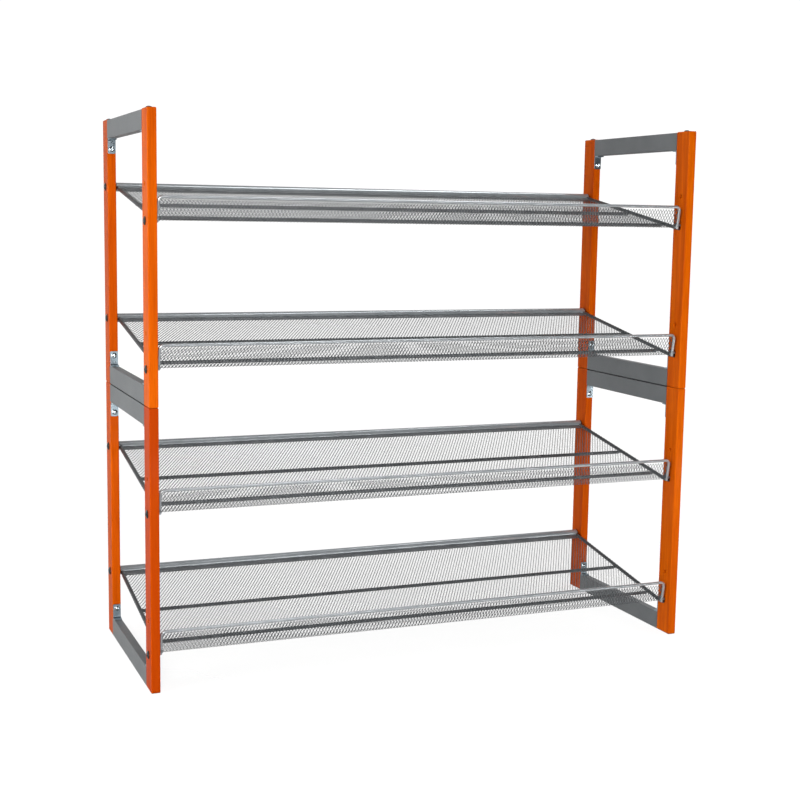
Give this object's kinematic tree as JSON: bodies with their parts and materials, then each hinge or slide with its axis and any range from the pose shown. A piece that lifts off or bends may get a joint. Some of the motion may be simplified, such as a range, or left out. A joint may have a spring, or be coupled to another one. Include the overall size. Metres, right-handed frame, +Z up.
{
  "type": "tiered shoe rack",
  "caption": "Stackable shoe rack with wooden posts, steel side rails and sloping metal mesh shelves with raised front lips.",
  "frame": {"origin": "middle of the footprint, on the floor", "axes": "+X to the right along the shelves seen from the front, +Y from the front to the back, +Z up"},
  "size_m": [0.7922, 0.298, 0.7404],
  "materials": {
    "post_wood": "orange-cherry stain under satin lacquer",
    "rail_paint": "grey powder coat",
    "bracket_zinc": "bluish zinc plate",
    "screw_zinc": "bright zinc plate",
    "bolt_steel": "polished, dark nickel",
    "plug_steel": "dark plated",
    "tube_steel": "silver coat",
    "rod_steel": "silver coat",
    "mesh_steel": "silver coat",
    "end_plug": "black plastic"
  },
  "bodies": {
    "lower_unit": {"lower_bracket_screws": "screw_zinc", "lower_corner_brackets": "bracket_zinc", "lower_front_bolts": "bolt_steel", "lower_left_bottom_rail": "rail_paint", "lower_left_front_post": "post_wood", "lower_left_rear_post": "post_wood", "lower_left_top_rail": "rail_paint", "lower_rear_bolts": "bolt_steel", "lower_right_bottom_rail": "rail_paint", "lower_right_front_post": "post_wood", "lower_right_rear_post": "post_wood", "lower_right_top_rail": "rail_paint", "lower_stacking_plugs": "plug_steel"},
    "upper_unit": {"upper_bracket_screws": "screw_zinc", "upper_corner_brackets": "bracket_zinc", "upper_front_bolts": "bolt_steel", "upper_left_bottom_rail": "rail_paint", "upper_left_front_post": "post_wood", "upper_left_rear_post": "post_wood", "upper_left_top_rail": "rail_paint", "upper_rear_bolts": "bolt_steel", "upper_right_bottom_rail": "rail_paint", "upper_right_front_post": "post_wood", "upper_right_rear_post": "post_wood", "upper_right_top_rail": "rail_paint", "upper_stacking_plugs": "plug_steel"},
    "shelf_1": {"shelf_1_back_tube": "tube_steel", "shelf_1_crossbars": "rod_steel", "shelf_1_end_plugs": "end_plug", "shelf_1_lip_wire": "rod_steel", "shelf_1_mesh": "mesh_steel", "shelf_1_rear_strip": "mesh_steel", "shelf_1_rest_lugs": "rod_steel", "shelf_1_side_rods": "rod_steel"},
    "shelf_2": {"shelf_2_back_tube": "tube_steel", "shelf_2_crossbars": "rod_steel", "shelf_2_end_plugs": "end_plug", "shelf_2_lip_wire": "rod_steel", "shelf_2_mesh": "mesh_steel", "shelf_2_rear_strip": "mesh_steel", "shelf_2_rest_lugs": "rod_steel", "shelf_2_side_rods": "rod_steel"},
    "shelf_3": {"shelf_3_back_tube": "tube_steel", "shelf_3_crossbars": "rod_steel", "shelf_3_end_plugs": "end_plug", "shelf_3_lip_wire": "rod_steel", "shelf_3_mesh": "mesh_steel", "shelf_3_rear_strip": "mesh_steel", "shelf_3_rest_lugs": "rod_steel", "shelf_3_side_rods": "rod_steel"},
    "shelf_4": {"shelf_4_back_tube": "tube_steel", "shelf_4_crossbars": "rod_steel", "shelf_4_end_plugs": "end_plug", "shelf_4_lip_wire": "rod_steel", "shelf_4_mesh": "mesh_steel", "shelf_4_rear_strip": "mesh_steel", "shelf_4_rest_lugs": "rod_steel", "shelf_4_side_rods": "rod_steel"}
  },
  "joints": [
    {"name": "upper_unit_lift", "type": "slide", "parent": "lower_unit", "child": "upper_unit", "axis": [0, 0, 1], "range_m": [0, 0.1]},
    {"name": "shelf_1_tilt", "type": "hinge", "parent": "lower_unit", "child": "shelf_1", "pos_m": [0, 0.133, 0.09225], "axis": [-1, 0, 0], "range_deg": [0, 9.6]},
    {"name": "shelf_2_tilt", "type": "hinge", "parent": "lower_unit", "child": "shelf_2", "pos_m": [0, 0.133, 0.27675], "axis": [-1, 0, 0], "range_deg": [0, 9.6]},
    {"name": "shelf_3_tilt", "type": "hinge", "parent": "upper_unit", "child": "shelf_3", "pos_m": [0, 0.133, 0.46145], "axis": [-1, 0, 0], "range_deg": [0, 9.6]},
    {"name": "shelf_4_tilt", "type": "hinge", "parent": "upper_unit", "child": "shelf_4", "pos_m": [0, 0.133, 0.64595], "axis": [-1, 0, 0], "range_deg": [0, 9.6]}
  ]
}
